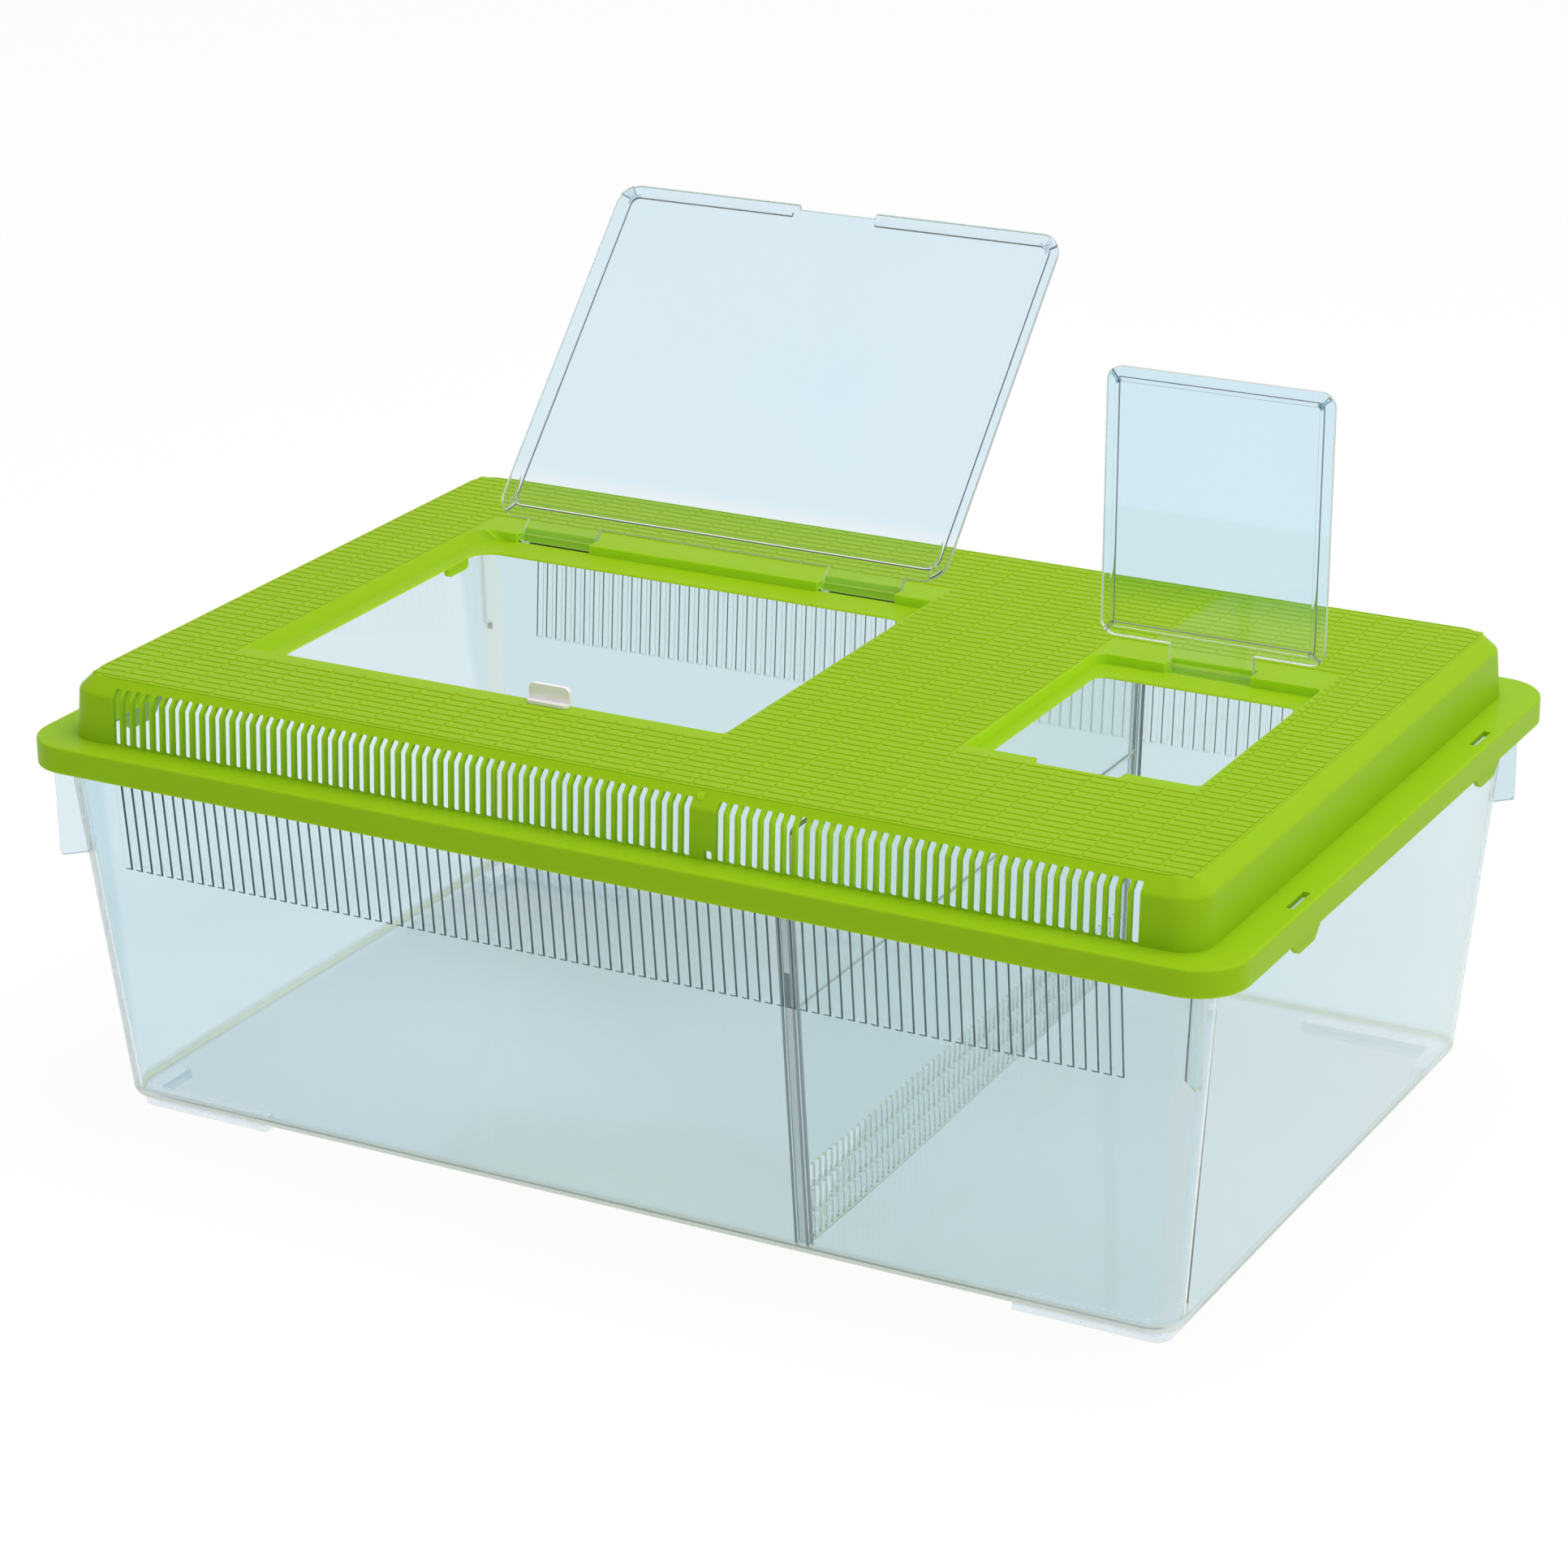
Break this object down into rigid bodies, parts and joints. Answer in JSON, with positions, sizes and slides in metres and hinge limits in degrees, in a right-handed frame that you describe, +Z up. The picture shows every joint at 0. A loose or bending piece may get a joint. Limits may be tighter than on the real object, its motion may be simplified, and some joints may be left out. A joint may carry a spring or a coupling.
{
  "type": "plastic pet keeper",
  "caption": "Long clear plastic tub on corner feet with a vented clip-on lid, hinged clear feeding flaps, a slide latch and a slotted divider for keeping small pets",
  "frame": {"origin": "On the surface that the feet stand on, under the middle of the tub", "axes": "+X along the long side towards the small flap, +Y to the back where the flaps lean, +Z up"},
  "size_m": [0.46, 0.3317, 0.2757],
  "materials": {
    "clear_tub": "clear, polished",
    "clear_flap": "clear, polished",
    "clear_divider": "clear, polished",
    "green_lid": "yellow-green, satin with a fine raised bar texture on top",
    "frosted_latch": "frosted, translucent white"
  },
  "bodies": {
    "tub": {"tub": "clear_tub"},
    "lid": {"lid": "green_lid"},
    "large_flap": {"large_flap": "clear_flap"},
    "small_flap": {"small_flap": "clear_flap"},
    "slide_latch": {"slide_latch": "frosted_latch"},
    "divider": {"divider": "clear_divider"}
  },
  "joints": [
    {"name": "lid_lift", "type": "slide", "parent": "tub", "child": "lid", "axis": [0, 0, 1], "range_m": [0, 0.2]},
    {"name": "divider_lift", "type": "slide", "parent": "tub", "child": "divider", "axis": [0, 0, 1], "range_m": [0, 0.1]},
    {"name": "large_flap_hinge", "type": "hinge", "parent": "lid", "child": "large_flap", "pos_m": [-0.0775, 0.0742, 0.1633], "axis": [1, 0, 0], "range_deg": [0, 134]},
    {"name": "small_flap_hinge", "type": "hinge", "parent": "lid", "child": "small_flap", "pos_m": [0.1377, 0.0503, 0.1633], "axis": [1, 0, 0], "range_deg": [-42.6, 91.4]},
    {"name": "latch_slide", "type": "slide", "parent": "lid", "child": "slide_latch", "axis": [0, 1, 0], "range_m": [0, 0.002]}
  ],
  "couplings": [
    {"joint": "divider_lift", "follows": "lid_lift", "ratio": 0.5}
  ]
}
